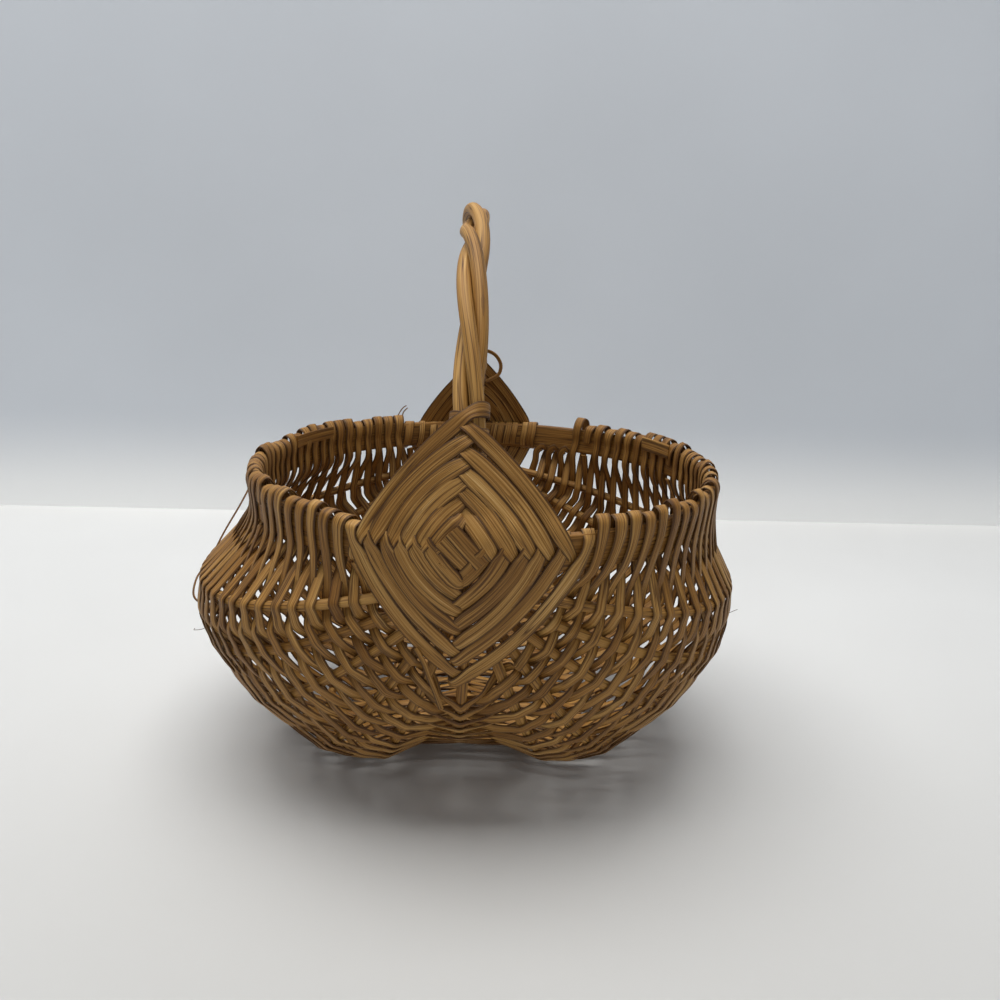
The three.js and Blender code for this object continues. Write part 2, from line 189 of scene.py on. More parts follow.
# Joins the parts into one named piece, which is shown in place of its node.
def finishPiece(name, parts, material, slot, *nodes):
    bpy.ops.object.select_all(action="DESELECT")
    for part in parts:
        part.select_set(True)
    bpy.context.view_layer.objects.active = piece = parts[0]
    if len(parts) > 1:
        bpy.ops.object.join()
    piece.name = piece.data.name = name
    piece.data.materials.clear()
    piece.data.materials.append(material)
    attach(piece, "root")
    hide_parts(*nodes)


# All reeds: where the grain starts, and how far apart their sizes change.
reedHabit = {
    "seamStep": 0.37,  # each reed's grain lies this many metres further along
    "flatChange": 17,
    "roundChange": 23,
}


# A flat reed through stations of (place, face), or (place, face, share of the width).
def flatReed(
    stations, width, thickness, section, step=1.3, seed=0, wobble=0.05, startWidth=None, girth=None
):
    carried = [(*station[1], station[2] if len(station) > 2 else 1) for station in stations]
    places, carried = smoothPath([station[0] for station in stations], carried, step)
    distances = distancesAlong(places)
    widths = np.linspace(startWidth or width, width, len(distances)) / 2 * carried[:, 3]
    widths = widths * (1 + wobble * wander(distances, reedHabit["flatChange"], seed))
    rings = ringsAlong(places, carried[:, :3], section, columns(widths, thickness / 2))
    return strandMesh(rings, reedHabit["seamStep"] * seed, girth)


# A round reed along a path.
def roundReed(places, radius, corners, step=1.5, seed=0, wobble=0.03, guide=(0, 0, 1)):
    guides = np.tile(np.asarray(guide, float), (len(places), 1))
    places, faces = smoothPath(places, guides, step)
    distances = distancesAlong(places)
    along = tangentsOf(places)
    face = unit(faces[0] - faces[0].dot(along[0]) * along[0])
    carried = []
    for direction in along:
        face = unit(face - face.dot(direction) * direction)
        carried.append(face)
    radii = radius * (1 + wobble * wander(distances, reedHabit["roundChange"], seed))
    rings = ringsAlong(places, np.array(carried), roundSection(corners), columns(radii, radii))
    return strandMesh(rings, reedHabit["seamStep"] * seed)


# The nodes stand in columns of four, in the order in which they are made.
def addNode(tree, kind, **values):
    node = tree.nodes.new(kind)
    count = len(tree.nodes)
    node.location = (count // 4 * 220, count % 4 * -220)
    for key, value in values.items():
        setattr(node, key, value)
    return node


# Gives an input a link, a colour or a number.
def feed(tree, socket, value):
    if isinstance(value, bpy.types.NodeSocket):
        tree.links.new(value, socket)
    else:
        socket.default_value = (*value, 1) if isinstance(value, tuple) else value


def noiseNode(tree, vector, scale, detail, roughness=0.5):
    node = addNode(tree, "ShaderNodeTexNoise")
    feed(tree, node.inputs["Vector"], vector)
    feed(tree, node.inputs["Scale"], scale)
    feed(tree, node.inputs["Detail"], detail)
    feed(tree, node.inputs["Roughness"], roughness)
    return node.outputs["Fac"]


def rampNode(tree, value, stops):
    node = addNode(tree, "ShaderNodeValToRGB")
    while len(node.color_ramp.elements) < len(stops):
        node.color_ramp.elements.new(0.5)
    for element, (position, color) in zip(node.color_ramp.elements, stops):
        element.position = position
        element.color = (*color, 1)
    feed(tree, node.inputs["Fac"], value)
    return node.outputs["Color"]


# A number that goes smoothly from low to high as value goes from start to end.
def easeNode(tree, value, start, end, low=0.0, high=1.0):
    node = addNode(tree, "ShaderNodeMapRange", interpolation_type="SMOOTHSTEP")
    for socket, number in zip(node.inputs, (value, start, end, low, high)):
        feed(tree, socket, number)
    return node.outputs["Result"]


def mixColors(tree, share, first, second):
    node = addNode(tree, "ShaderNodeMix", data_type="RGBA")
    for i, value in ((0, share), (6, first), (7, second)):  # the sockets that mix colours
        feed(tree, node.inputs[i], value)
    return node.outputs[2]


# Long fibres, open vessels and slow changes of tone along a cane reed. A noise has its cells in
# a metre along the reed and round it, its detail and its roughness.
cane = {
    "fibres": (18, 2100, 2.0, 0.6),
    "hairs": (60, 5200, 2.0, 0.6),
    "vessels": (14, 760, 1.0, 0.4),
    "tones": (11, 90, 3.0, 0.55),
    "stains": (34, 210, 4.0, 0.6),
    "hairShare": 0.35,
    "contrast": 1.3,
    "toneChange": 1.1,
    "vesselSharpness": 26.0,
    "vesselDepth": 0.92,
    "stainFrom": 0.64,
    "wood": (
        (0.0, (0.070, 0.024, 0.003)),
        (0.3, (0.205, 0.088, 0.015)),
        (0.55, (0.345, 0.170, 0.038)),
        (0.8, (0.500, 0.283, 0.083)),
        (1.0, (0.660, 0.425, 0.175)),
    ),
    "vesselColor": (0.085, 0.036, 0.010),
    "stainColor": (0.150, 0.070, 0.020),
    "edgeGrimeAndShadeColor": (0.045, 0.016, 0.003),
    "edgeFade": (0.00025, 0.00115),  # the dark edge, of grime and painted shade, fades out between these distances
    "roughness": (0.68, -0.25),  # at the lowest grain, and its change to the highest
}


# Place runs along the reed and round it in metres, from the middle of an edge. Quarter is a
# quarter of the way round, and Edge how dark the edges are, from grime and from painted shade.
def buildReedGroup():
    group = bpy.data.node_groups.new("caneReed", "ShaderNodeTree")
    sockets = {
        "INPUT": ("Place", "Fibre", "Tone", "Stain", "Quarter", "Edge"),
        "OUTPUT": ("Color", "Roughness", "Height"),
    }
    for side, labels in sockets.items():
        for label in labels:
            kind = {"Place": "Vector", "Color": "Color"}.get(label, "Float")
            group.interface.new_socket(name=label, in_out=side, socket_type="NodeSocket" + kind)
    ins = addNode(group, "NodeGroupInput").outputs
    outs = addNode(group, "NodeGroupOutput").inputs

    def calc(operation, *values):
        node = addNode(group, "ShaderNodeMath", operation=operation)
        for socket, value in zip(node.inputs, values):
            feed(group, socket, value)
        return node.outputs[0]

    def caneNoise(name):
        along, around, detail, roughness = cane[name]
        stretch = addNode(group, "ShaderNodeVectorMath", operation="MULTIPLY")
        group.links.new(ins["Place"], stretch.inputs[0])
        stretch.inputs[1].default_value = (along, around, 1)
        return noiseNode(group, stretch.outputs[0], 1, detail, roughness)

    fibres = calc("MULTIPLY", caneNoise("fibres"), 1 - cane["hairShare"])
    grain = calc("MULTIPLY_ADD", caneNoise("hairs"), cane["hairShare"], fibres)
    centred = calc("SUBTRACT", grain, 0.5)
    contrast = calc("MULTIPLY", centred, cane["contrast"])
    contrast = calc("MULTIPLY_ADD", contrast, ins["Fibre"], 0.5)
    slow = calc("SUBTRACT", caneNoise("tones"), 0.5)
    slow = calc("MULTIPLY", slow, cane["toneChange"])
    toned = calc("ADD", contrast, slow)
    toned = calc("ADD", toned, calc("SUBTRACT", ins["Tone"], 0.5))
    wood = rampNode(group, toned, cane["wood"])

    # an open vessel is the thin line where its noise crosses the middle
    ridge = calc("SUBTRACT", caneNoise("vessels"), 0.5)
    ridge = calc("ABSOLUTE", ridge)
    ridge = calc("MULTIPLY", ridge, cane["vesselSharpness"])
    solid = calc("SMOOTH_MIN", ridge, 1.0, 0.25)
    line = calc("MULTIPLY", solid, cane["vesselDepth"])
    line = calc("SUBTRACT", cane["vesselDepth"], line)
    lined = mixColors(group, line, wood, cane["vesselColor"])

    spots = calc("GREATER_THAN", caneNoise("stains"), cane["stainFrom"])
    spots = calc("MULTIPLY", spots, ins["Stain"])
    stained = mixColors(group, spots, lined, cane["stainColor"])

    parts = addNode(group, "ShaderNodeSeparateXYZ")
    group.links.new(ins["Place"], parts.inputs[0])
    # the edges darken for grime and fraying, and with painted shade where neighbouring reeds meet
    fromEdge = calc("PINGPONG", parts.outputs["Y"], ins["Quarter"])
    edge = easeNode(group, fromEdge, *cane["edgeFade"], 1.0, 0.0)
    edge = calc("MULTIPLY", edge, ins["Edge"])
    edgeGrimedAndShaded = mixColors(group, edge, stained, cane["edgeGrimeAndShadeColor"])

    level, change = cane["roughness"]
    rough = calc("MULTIPLY_ADD", grain, change, level)
    raised = calc("MULTIPLY_ADD", grain, 0.8, 0.1)
    height = calc("MULTIPLY", raised, calc("MULTIPLY_ADD", solid, 0.5, 0.5))
    for label, value in (("Color", edgeGrimedAndShaded), ("Roughness", rough), ("Height", height)):
        group.links.new(value, outs[label])
    return group


reedGroup = buildReedGroup()


def newMaterial(name, sheen):
    material = bpy.data.materials.new(name)
    material.use_nodes = True
    tree = material.node_tree
    shader = tree.nodes["Principled BSDF"]
    shader.inputs["Specular IOR Level"].default_value = sheen
    return material, tree, shader


def reedMaterial(name, look, girth=10.0):
    material, tree, shader = newMaterial(name, 0.3)
    place = addNode(tree, "ShaderNodeUVMap", uv_map="reedMap")
    reed = addNode(tree, "ShaderNodeGroup", node_tree=reedGroup)
    for label in ("Fibre", "Tone", "Stain", "Edge"):
        reed.inputs[label].default_value = look.get(label.lower(), 0.0)
    reed.inputs["Quarter"].default_value = girth / 4 * mm
    relief = addNode(tree, "ShaderNodeBump")
    relief.inputs["Strength"].default_value = look["bump"]
    relief.inputs["Distance"].default_value = 0.0003
    tree.links.new(place.outputs["UV"], reed.inputs["Place"])
    tree.links.new(reed.outputs["Color"], shader.inputs["Base Color"])
    tree.links.new(reed.outputs["Roughness"], shader.inputs["Roughness"])
    tree.links.new(reed.outputs["Height"], relief.inputs["Height"])
    tree.links.new(relief.outputs["Normal"], shader.inputs["Normal"])
    return material


print("reed pattern made")


rimBox = [np.array(corner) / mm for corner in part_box("rim_hoop")]
rim = {
    "level": (rimBox[0][2] + rimBox[1][2]) / 2,
    "height": rimBox[1][2] - rimBox[0][2],
    "thickness": 4.0,
    "radius": 100.0,  # front to back
    "wide": 96.5,  # side to side
    "shift": (rimBox[0][0] + rimBox[1][0]) / 2,
    "wave": 0.35,  # how far it dips and rises on its way round
    "shave": 0.1,  # it is this much lower than its node, above and below
    "seamAt": 140,  # where the bent splint's ends meet, in degrees from the right
    "steps": 160,
    "section": flatSection(20, 7),
    # the splint's tone is darker than the other reeds': partly older cane, partly painted shade on
    # its face between the wraps
    "look": {"fibre": 0.8, "tone": 0.40, "stain": 0.5, "bump": 0.5},
}
# the splint's own end stands on the rim's inner face
splintEnd = {"from": 144.0, "to": 161.0, "width": 5.6, "inward": 3.2, "rise": 7.2, "seed": 5}


# Places on the rim's middle line at these angles, and the ways outward there.
def rimLine(angles, rise=0.0):
    across, along = np.cos(angles), np.sin(angles)
    places = columns(
        rim["shift"] + rim["wide"] * across, rim["radius"] * along, rim["level"] + rise
    )
    return places, unit(columns(across / rim["wide"], along / rim["radius"], 0))


def fromRim(x, y, z):
    return point(x, y, rim["level"] + z)


def rimOutward(place):
    across = (place[0] - rim["shift"]) / rim["wide"] ** 2
    return unit(point(across, place[1] / rim["radius"] ** 2, 0))


def rimHoop():
    angles = np.linspace(0, 2 * pi, rim["steps"], endpoint=False) + radians(rim["seamAt"])
    places, outward = rimLine(angles, rim["wave"] * np.sin(3 * angles + 0.7))
    section = rim["section"]
    rings = (
        places[:, None, :]
        + point(0, 0, 1) * section[None, :, :1] * (rim["height"] / 2 - rim["shave"])
        + outward[:, None, :] * section[None, :, 1:] * rim["thickness"] / 2
    )
    return strandMesh(np.concatenate([rings, rings[:1] + 1e-5]))


# A strip that stands on the rim's inner face: the splint's own end, or the end of a wrap.
def rimStrip(strip):
    angles = np.radians(np.linspace(strip["from"], strip["to"], 9))
    places, outward = rimLine(angles, strip["rise"])
    stations = list(zip(places - outward * strip["inward"], outward))
    section = flatSection(16, 4)
    return flatReed(stations, strip["width"], 0.9, section, seed=strip["seed"], wobble=0.12)


rimSplint = reedMaterial("rimSplint", rim["look"])
finishPiece("rim", [rimHoop(), rimStrip(splintEnd)], rimSplint, "rim_splint", "rim_hoop")
print("rim made")

ribs = {
    "radius": 2.0,
    "reach": (112.5, 110.0, 94.0, 66.0, 38.5),  # how far out each side rib swells
    "drop": (37.8, 63.8, 88.8, 112.8, 116.8),  # and how far it hangs below the rim
    "fan": (10, 27, 43, 57, 70),  # the way its end points in the lashing, in degrees below level
    "endSpread": 18.0,
    "endDrop": 13.8,
    "endReach": 91.4,
    "bottomDrop": 108.8,
    "bottomTopDrop": 9.5,
    "bottomEndReach": 98.0,
    "bottomLean": -2.0,  # the bottom rib comes out of the front lashing a little to the left
    "fullness": 0.82,
    "steps": 60,
    "corners": 14,
    "look": {"fibre": 0.9, "tone": 0.55, "stain": 0.3, "bump": 0.6},
}
ribsASide = len(ribs["reach"])


def ribPath(startX, startDrop, reach, drop, endReach, count=240):
    angle = np.linspace(0, pi, count)
    swell = np.maximum(np.sin(angle), 0) ** ribs["fullness"]
    return columns(
        startX + (reach - startX) * swell,
        -endReach * np.cos(angle),
        rim["level"] - startDrop - (drop - startDrop) * swell,
    )


def sideRibPath(side, i):
    angle = radians(ribs["fan"][i])
    startX = side * ribs["endSpread"] * cos(angle)
    startDrop = ribs["endDrop"] + ribs["endSpread"] * sin(angle)
    return ribPath(startX, startDrop, side * ribs["reach"][i], ribs["drop"][i], ribs["endReach"])


def bottomRibPath():
    path = ribPath(0, ribs["bottomTopDrop"], 0, ribs["bottomDrop"], ribs["bottomEndReach"])
    front = np.clip(-path[:, 1] / ribs["bottomEndReach"], 0, 1)
    path[:, 0] += ribs["bottomLean"] * np.sin(pi * front**2)
    return path


def makeRib(name, path, seed, node):
    places = evenly(path, ribs["steps"])
    rib = roundReed(places, ribs["radius"], ribs["corners"], seed=seed)
    finishPiece(name, [rib], ribReed, "rib_reed", node)


ribReed = reedMaterial("ribReed", ribs["look"])
for side, word in ((-1, "left"), (1, "right")):
    for i in range(ribsASide):
        path = sideRibPath(side, i)
        makeRib(f"{word}Rib{i + 1}", path, 3 + i + 7 * side, f"rib_{word}_{i + 1}")
makeRib("bottomRib", bottomRibPath(), 29, "rib_bottom")
print("ribs made")

handle = {
    "strand": 5.3,
    "gap": 0.1,
    "reach": 91.4,  # from the middle to a leg's centre line
    "rise": 108.8,
    "legBelowRim": 8.0,
    "turns": 2.5,
    "phase": 40.0,
    "phaseAt": 59.0,  # distance from the front foot at which the first strand stands at that phase
    "extraTurn": 32.0,  # degrees more near the top
    "extraFrom": 110.0,
    "extraOver": 45.0,
    "sag": 2.6,  # how far the second strand hangs from the bundle just before the top
    "sagAt": 143.0,
    "sagLength": 14.0,
    "sway": 0.25,  # how far the strands stray from an even twist
    "swayEvery": 31.0,
    "corners": 22,
    "look": {"fibre": 0.95, "tone": 0.60, "stain": 0.5, "bump": 0.6},
}
orbit = (handle["strand"] + handle["gap"]) / sqrt(3)
bundle = orbit + handle["strand"] / 2


def handleLine(count=400):
    angle = np.linspace(0, pi, count)
    height = rim["level"] + handle["rise"] * np.sin(angle)
    arch = columns(0, -handle["reach"] * np.cos(angle), height)
    foot = point(0, 0, handle["legBelowRim"])
    return evenly(np.vstack([arch[:1] - foot, arch, arch[-1:] - foot]), count)


def handleStrand(strand):
    line = handleLine()
    sideways = point(1, 0, 0)
    outward = unit(np.cross(sideways, tangentsOf(line)))
    distances = distancesAlong(line)
    perTurn = distances[-1] / handle["turns"]
    tighter = eased((distances - handle["extraFrom"]) / handle["extraOver"])
    angle = np.radians(
        handle["phase"] + 120 * strand
        - 360 * (distances - handle["phaseAt"]) / perTurn
        - handle["extraTurn"] * tighter
    )
    away = orbit + handle["sway"] * wander(distances, handle["swayEvery"], 60 + strand)
    places = line + outward * (away * np.cos(angle))[:, None]
    places = places + sideways * (away * np.sin(angle))[:, None]
    if strand == 1:
        beside = (distances - handle["sagAt"]) / handle["sagLength"]
        places[:, 2] -= handle["sag"] * np.exp(-(beside**2))
    radius, corners = handle["strand"] / 2, handle["corners"]
    return roundReed(places[::3], radius, corners, seed=40 + strand, guide=(1, 0, 0))


handleReed = reedMaterial("handleReed", handle["look"])
for i in range(3):
    strand = [handleStrand(i)]
    finishPiece(f"handleReed{i + 1}", strand, handleReed, "handle_reed", f"handle_strand_{i + 1}")
print("handle made")

# The reed goes round the crossing of rim, handle and bottom rib, anticlockwise as seen
# from outside. On each arm it comes over, goes round behind and comes over again as it leaves.
eye = {
    "width": 5.4,
    "inmostWidth": 6.3,
    "thickness": 0.8,
    "clear": 0.15,
    "girth": 12.4,
    "narrow": (0.8, 0.62),  # the reed is drawn narrow at the crossings, and narrower still behind
    "wrapWidth": 0.95,  # but the outmost round shows behind too
    "sunk": (0.9, 0.9, 0.9, 0.9, 0.25, 0.0),  # how far each round's hidden parts lie under
    "leastSunk": 0.5,  # and the least just beside a crossing
    "stacking": 0.52,  # the share of the width at which each reed rests on the one before
    "mostLean": 1.6,
    "leanFor": (3.0, 4.0),  # past a crossing the reed keeps its lean for so far, on top and behind
    "wideArm": 8.0,  # where it has further to go than this, it gets one more station
    "inset": 1.2,  # so far in from the arm's side
    "offRim": (7.0, 6.0),  # from here on, and over this length, it comes down off the rim
    "rimRoom": 0.35,  # its room over the rim's face between two arms
    "rimFade": 1.6,
    "quarterShares": (0.12, 0.26, 0.42, 0.58, 0.74, 0.88),
    "quarterTilt": 0.19,
    "ribTilt": 0.35,  # how far it faces down on the bottom rib
    # edge sets the darkening along the reeds' edges: partly grime, partly painted shade between
    # reeds
    "look": {"fibre": 1.3, "tone": 0.58, "stain": 0.45, "bump": 0.9, "edge": 0.92},
}

# The arms, in the order in which the reed comes to them. Away is the way out along the arm and
# across the way over it, to the right and up as seen from outside. Arrive and leave are from
# the middle of the crossing, one for each round. Offset is where the reeds cross on their way
# over the arm, inmost and outmost. Bows are how far each reed bows outward after the arm, as a
# share of its run. The back lashing has backShare of the front one's size. Half is half the
# width and half the depth of what the reed goes round.
arms = {
    "up": {
        "away": (0, 1),
        "across": (-1, 0),
        "arrive": (7.0, 13.1, 19.6, 24.9, 31.0, 38.4),
        "leave": (10.4, 16.2, 22.3, 27.6, 34.6, 42.4),
        "offset": (2.9, -0.1),
        "bows": (0.045, 0.07, 0.076, 0.095, 0.074, 0.045),
        "wrapLean": 0.4,
        "half": (bundle, bundle),
        "backShare": 0.94,
    },
    "left": {
        "away": (-1, 0),
        "across": (0, -1),
        "arrive": (9.4, 14.2, 19.3, 23.8, 29.8, 34.2),
        "leave": (11.6, 16.7, 21.6, 25.8, 31.8, 37.0),
        "offset": (-2.5, -3.2),
        "bows": (0.044, 0.068, 0.095, 0.095, 0.065, 0.072),
        "wrapLean": 0.15,
        "half": (rim["height"] / 2, rim["thickness"] / 2),
        "backShare": 0.87,
    },
    "down": {
        "away": (0, -1),
        "across": (1, 0),
        "arrive": (7.6, 14.6, 20.8, 26.6, 35.5, 44.0),
        "leave": (10.8, 18.4, 24.6, 32.5, 40.0, 49.0),
        "offset": (-2.6, -3.8),
        "bows": (0.05, 0.065, 0.07, 0.08, 0.074, 0.082),
        "wrapLean": 0.35,
        "half": (ribs["radius"], ribs["radius"]),
        "backShare": 0.94,
    },
    "right": {
        "away": (1, 0),
        "across": (0, 1),
        "arrive": (5.9, 12.2, 19.1, 23.6, 30.7, 38.6),
        "leave": (8.0, 14.3, 20.4, 26.1, 32.5, 41.0),
        "offset": (0.8, 1.6),
        "bows": (0.05, 0.049, 0.042, 0.055, 0.046, 0.04),
        "wrapLean": 0.6,
        "half": (rim["height"] / 2, rim["thickness"] / 2),
        "backShare": 0.85,
    },
}
armOrder = list(arms)
rounds = len(arms["up"]["arrive"])
low = eye["clear"] + eye["thickness"] / 2  # from an arm's surface to the middle of a reed on it


def armLevel(arm, end, word, turn):
    share = arms[arm]["backShare"] if end > 0 else 1
    return arms[arm][word][turn] * share


# A way of an arm in space. The front end is -1 and the back end 1.
def armWay(arm, end, word):
    right, up = arms[arm][word]
    return point(-end * right, 0, up)


# A crossing as seen from outside: to the right and up from the middle.
def crossingSpot(arm, end, word, turn):
    distance = armLevel(arm, end, word, turn)
    offset, _ = crossingLine(arm, distance)
    return np.array(arms[arm]["away"]) * distance + np.array(arms[arm]["across"]) * offset


# How far a reed leans outward where it comes to an arm, or leaves it, for each mm across.
def leanAt(arm, end, word, turn):
    coming = word == "arrive"
    number = turn * 4 + armOrder.index(arm) + (-1 if coming else 1)
    other, otherTurn = armOrder[number % 4], number // 4
    if number < 0 or (turn == rounds - 1 and not coming):
        return arms[arm]["wrapLean"]
    otherWord = "leave" if coming else "arrive"
    run = crossingSpot(other, end, otherWord, otherTurn) - crossingSpot(arm, end, word, turn)
    away, across = arms[arm]["away"], arms[arm]["across"]
    bow = arms[other]["bows"][otherTurn] if coming else arms[arm]["bows"][turn]
    way = run + unit(np.add(away, arms[other]["away"])) * 4 * bow * norm(run)
    return min(abs(way.dot(away)) / max(abs(way.dot(across)), 1), eye["mostLean"])


# Place and outward way on an arm of the crossing, at a distance from its middle.
def armPlace(arm, end, distance):
    if arm == "up":
        angle = asin(min(max(distance / handle["rise"], 0), 0.99))
        reach, rise = handle["reach"] * cos(angle), handle["rise"] * cos(angle)
        outward = unit(point(0, end * rise, handle["reach"] * sin(angle)))
        return fromRim(0, end * reach, distance), outward
    if arm == "down":
        path = bottomRibPath()
        path = path[path[:, 1] * end > 0]
        nearest = np.argmin(np.abs(path[:, 2] - rim["level"] + distance))
        hung = (distance - ribs["bottomTopDrop"]) / (ribs["bottomDrop"] - ribs["bottomTopDrop"])
        return path[nearest], unit(point(0, end, -eye["ribTilt"] * max(hung, 0)))
    side = end if arm == "left" else -end
    offset = side * distance - rim["shift"]
    reach = rim["radius"] * sqrt(1 - (offset / rim["wide"]) ** 2)
    place = fromRim(side * distance, end * reach, 0)
    return place, rimOutward(place)


# Where the reeds cross on their way over an arm, and their slope there: each lies on the last.
def crossingLine(arm, distance):
    first, last = arms[arm]["arrive"][0], arms[arm]["leave"][-1]
    share = min(max((distance - first) / (last - first), 0), 1)
    inmost, outmost = arms[arm]["offset"]
    pitch = (last - first) / (2 * rounds - 1)
    return inmost + (outmost - inmost) * share, eye["thickness"] / pitch


# A crossing's place and face, as the reed comes or leaves.
def crossingStation(arm, end, word, turn):
    distance = armLevel(arm, end, word, turn)
    depth = arms[arm]["half"][1]
    offset, slope = crossingLine(arm, distance)
    place, outward = armPlace(arm, end, distance)
    if arm in ("up", "down"):  # near the middle the reed runs over the rim
        start, length = eye["offRim"]
        share = min(max((distance - start) / length, 0), 1)
        rimDepth = rim["radius"] + rim["thickness"] / 2 - abs(place[1])
        depth = max(depth, rimDepth) * (1 - share) + depth * share
    height = depth + low + slope * eye["width"] * eye["stacking"]
    spot = place + armWay(arm, end, "across") * offset + outward * height
    return spot, unit(outward + armWay(arm, end, "away") * slope), eye["narrow"][0]


# The reed's hidden way round an arm, from one crossing to the next.
def behindArm(arm, end, turn):
    arrive, leave = armLevel(arm, end, "arrive", turn), armLevel(arm, end, "leave", turn)
    width, depth = arms[arm]["half"]
    across = armWay(arm, end, "across")
    offset, _ = crossingLine(arm, arrive)
    inset, (onTop, below) = eye["inset"], eye["leanFor"]
    side = width + low + 0.1
    farSide = max(side, inset - offset)
    outmost = turn == rounds - 1
    share = eye["wrapWidth"] if outmost else eye["narrow"][1]
    sunk = eye["sunk"][turn]
    under = max(sunk, eye["leastSunk"])
    rounded = arm in ("up", "down")
    tipped = 0.3 if rounded else 0
    stations = []

    def add(distance, sideways, height, faceAcross, faceOut):
        place, outward = armPlace(arm, end, distance)
        face = outward * faceOut + across * faceAcross
        stations.append((place + across * sideways + outward * height, unit(face), share))

    def surface(sideways):
        if rounded:
            return sqrt(max((depth + low) ** 2 - sideways**2, 0))
        return depth + low

    # over the arm's far side and down
    forward = width - offset
    lean = leanAt(arm, end, "arrive", turn)
    if forward > onTop:
        add(arrive + lean * onTop, offset + onTop, surface(offset + onTop) - under, tipped, 1)
    if forward > eye["wideArm"]:
        add(arrive + lean * below, width - inset, depth + low - sunk - 0.3, 0, 1)
    out = arrive + lean * min(forward, below)
    add(out, side - sunk, -0.2, 1, 0)

    # behind the arm, and up on the near side
    lean = leanAt(arm, end, "leave", turn)
    backward = width + offset
    back = leave + lean * min(backward, below)
    middle = (out + back) / 2
    add(middle - 0.5, 0.5 * width, -depth - low, 0.2, -1)
    add(middle + 0.5, -0.5 * width, -depth - low, -0.2, -1)
    add(back, sunk - farSide, -0.2, -1, 0)
    if backward > eye["wideArm"]:
        add(back, inset - width, depth + low - sunk * 1.5, 0, 1)
    if backward > onTop:
        lift = 0.4 if outmost else -under
        add(leave + lean * onTop, offset - onTop, surface(offset - onTop) + lift, -tipped, 1)
    return stations


# How far a place between two arms must move outward for the reed to pass over the rim's face.
def overRim(place):
    offset = (place[0] - rim["shift"]) / rim["wide"]
    face = rim["radius"] * sqrt(1 - min(offset**2, 1)) + rim["thickness"] / 2
    past = abs(place[2] - rim["level"]) / rim["height"]
    share = min(max(eye["rimFade"] - past * eye["rimFade"], 0), 1)
    return max(face + low + eye["rimRoom"] - abs(place[1]), 0) * share


# The reed's stations on the open quarter between two crossings.
def acrossQuarter(start, stop, fromArm, toArm, end, turn):
    chord = stop[0] - start[0]
    away = unit(armWay(fromArm, end, "away") + armWay(toArm, end, "away"))
    bow = arms[fromArm]["bows"][turn] * norm(chord)
    outward = unit(np.cross(chord, away))
    outward = outward if outward[1] * end > 0 else -outward
    stations = []
    for share in eye["quarterShares"]:
        place = start[0] + chord * share + away * bow * 4 * share * (1 - share)
        place[1] += end * overRim(place)
        stations.append((place, unit(outward + away * eye["quarterTilt"])))
    return stations


# The reed's ends are left out, so that it starts and stops behind an arm.
def lashingStations(end):
    passes = [(turn, arm) for turn in range(rounds) for arm in armOrder]
    stations = []
    for (turn, arm), (nextTurn, nextArm) in zip(passes, passes[1:]):
        behind = behindArm(arm, end, turn)
        stations += behind if stations else behind[-2:]
        start = crossingStation(arm, end, "leave", turn)
        stop = crossingStation(nextArm, end, "arrive", nextTurn)
        stations += [start, *acrossQuarter(start, stop, arm, nextArm, end, turn), stop]
    turn, arm = passes[-1]
    return stations + behindArm(arm, end, turn)[:5]


# Short ends of reed that fill the middle of the crossing: (start, stop, height over the rim),
# as places seen from outside, from the middle of the rim.
eyeMiddle = {
    "width": 5.6,
    "sag": 0.3,  # how far their ends lie below their middle
    "runs": (
        ((-7.6, -4.6), (3.4, 3.2), 0.1),
        ((-8.2, 5.0), (1.8, -5.2), 0.5),
        ((-4.8, 8.6), (5.2, -2.8), 0.9),
    ),
}

# A splinter has come off the front lashing, and the back one has a curled end: width and places
# from the middle of the rim.
lashingEnds = {
    "front": (1.9, (
        (-17.0, -96.5, -36.0), (-14.2, -96.8, -41.0), (-12.2, -96.0, -47.2),
        (-10.0, -94.6, -54.2), (-8.2, -92.0, -61.5),
    )),
    "back": (2.0, (
        (3.5, 90.0, 46.0), (7.6, 91.5, 45.6), (12.0, 92.0, 42.8), (14.2, 92.0, 38.0),
        (13.2, 91.5, 33.8), (9.8, 90.0, 31.4), (6.0, 88.0, 30.0),
    )),
}


def middleStations(end):
    front = end * (rim["radius"] + rim["thickness"] / 2 + low)
    runs = []
    for start, stop, lift in eyeMiddle["runs"]:
        run = []
        for share in (0, 0.5, 1):
            x = (start[0] + (stop[0] - start[0]) * share) * -end
            y = front + end * (lift - eyeMiddle["sag"] * (2 * share - 1) ** 2)
            z = start[1] + (stop[1] - start[1]) * share
            run.append((fromRim(x, y, z), point(0, end, 0)))
        runs.append(run)
    return runs


lashingReed = reedMaterial("lashingReed", eye["look"], eye["girth"])
eyeSection = flatSection(24, 3.2, groove=0.05)


def eyeReed(stations, width, seed, **more):
    more = {"step": 1.0, "seed": seed, "girth": eye["girth"], **more}
    return flatReed(stations, width, eye["thickness"], eyeSection, **more)


for word, end in (("front", -1), ("back", 1)):
    startWidth = eye["inmostWidth"]
    rounded = lashingStations(end)
    parts = [eyeReed(rounded, eye["width"], 11 + end, wobble=0.04, startWidth=startWidth)]
    parts += [eyeReed(run, eyeMiddle["width"], 21 + i) for i, run in enumerate(middleStations(end))]
    width, spots = lashingEnds[word]
    stations = [(fromRim(*spot), point(0, end, 0.15)) for spot in spots]
    parts.append(flatReed(stations, width, 0.6, eyeSection, step=1.0, seed=31))
    finishPiece(word + "Lashing", parts, lashingReed, "lashing_reed", "lashing_" + word)
print("lashings made")

